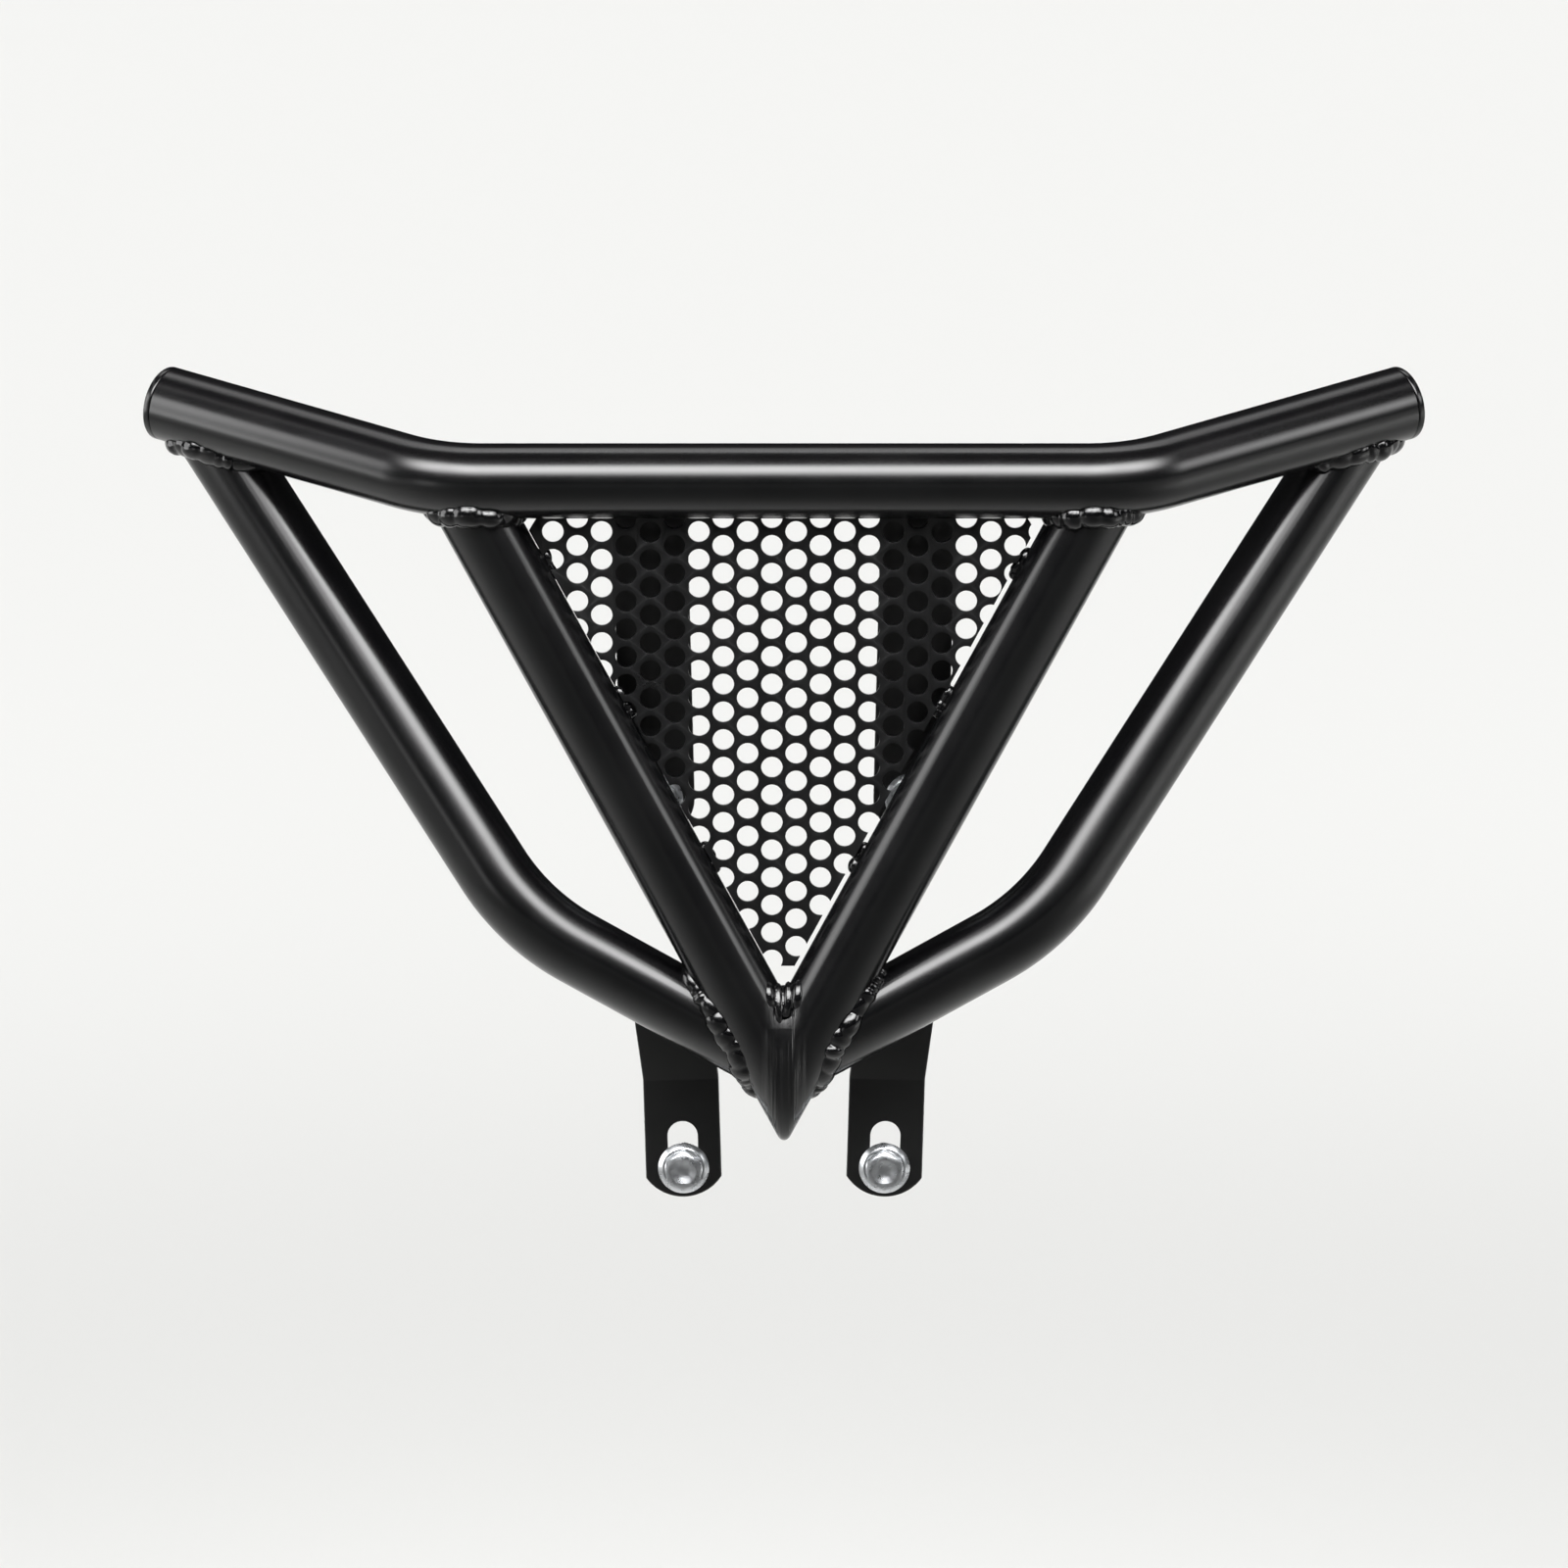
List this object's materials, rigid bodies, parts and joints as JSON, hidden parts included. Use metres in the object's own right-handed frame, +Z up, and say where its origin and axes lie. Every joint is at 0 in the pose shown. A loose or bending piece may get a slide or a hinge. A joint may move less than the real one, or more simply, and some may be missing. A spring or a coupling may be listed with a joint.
{
  "type": "atv front bumper",
  "caption": "Quad front bumper of bent and coped black steel tube in a V, with a perforated centre panel, flat upper straps and slotted lower tabs for bolting to the frame.",
  "frame": {"origin": "midway between the two lower bolts, on the back faces of the lower tabs, where the bumper seats on the vehicle frame", "axes": "+X to the right seen from the front, +Y back toward the vehicle, +Z up; the front of the bumper faces -Y"},
  "size_m": [0.4376, 0.0855, 0.2844],
  "materials": {
    "black_coat": "semi-gloss black powder coat",
    "panel_coat": "semi-gloss black powder coat on perforated sheet",
    "weld_coat": "glossy black powder coat pooled over rippled weld beads",
    "zinc_plate": "bright zinc-plated steel"
  },
  "bodies": {
    "root": {"top_tube": "black_coat", "end_cap_left": "black_coat", "end_cap_right": "black_coat", "v_tube_left": "black_coat", "v_tube_right": "black_coat", "side_tube_left": "black_coat", "side_tube_right": "black_coat", "upper_strap_left": "black_coat", "upper_strap_right": "black_coat", "lower_tab_left": "black_coat", "lower_tab_right": "black_coat", "perforated_panel": "panel_coat", "weld_apex": "weld_coat", "weld_top_v_left": "weld_coat", "weld_top_side_left": "weld_coat", "weld_side_v_left": "weld_coat", "weld_strap_left": "weld_coat", "weld_tab_inner_left": "weld_coat", "weld_tab_outer_left": "weld_coat", "tack_lower_left": "weld_coat", "tack_middle_left": "weld_coat", "tack_upper_left": "weld_coat", "weld_top_v_right": "weld_coat", "weld_top_side_right": "weld_coat", "weld_side_v_right": "weld_coat", "weld_strap_right": "weld_coat", "weld_tab_inner_right": "weld_coat", "weld_tab_outer_right": "weld_coat", "tack_lower_right": "weld_coat", "tack_middle_right": "weld_coat", "tack_upper_right": "weld_coat", "lower_bolt_left": "zinc_plate", "lower_bolt_right": "zinc_plate", "upper_bolt_left": "zinc_plate", "upper_bolt_right": "zinc_plate"}
  },
  "joints": []
}
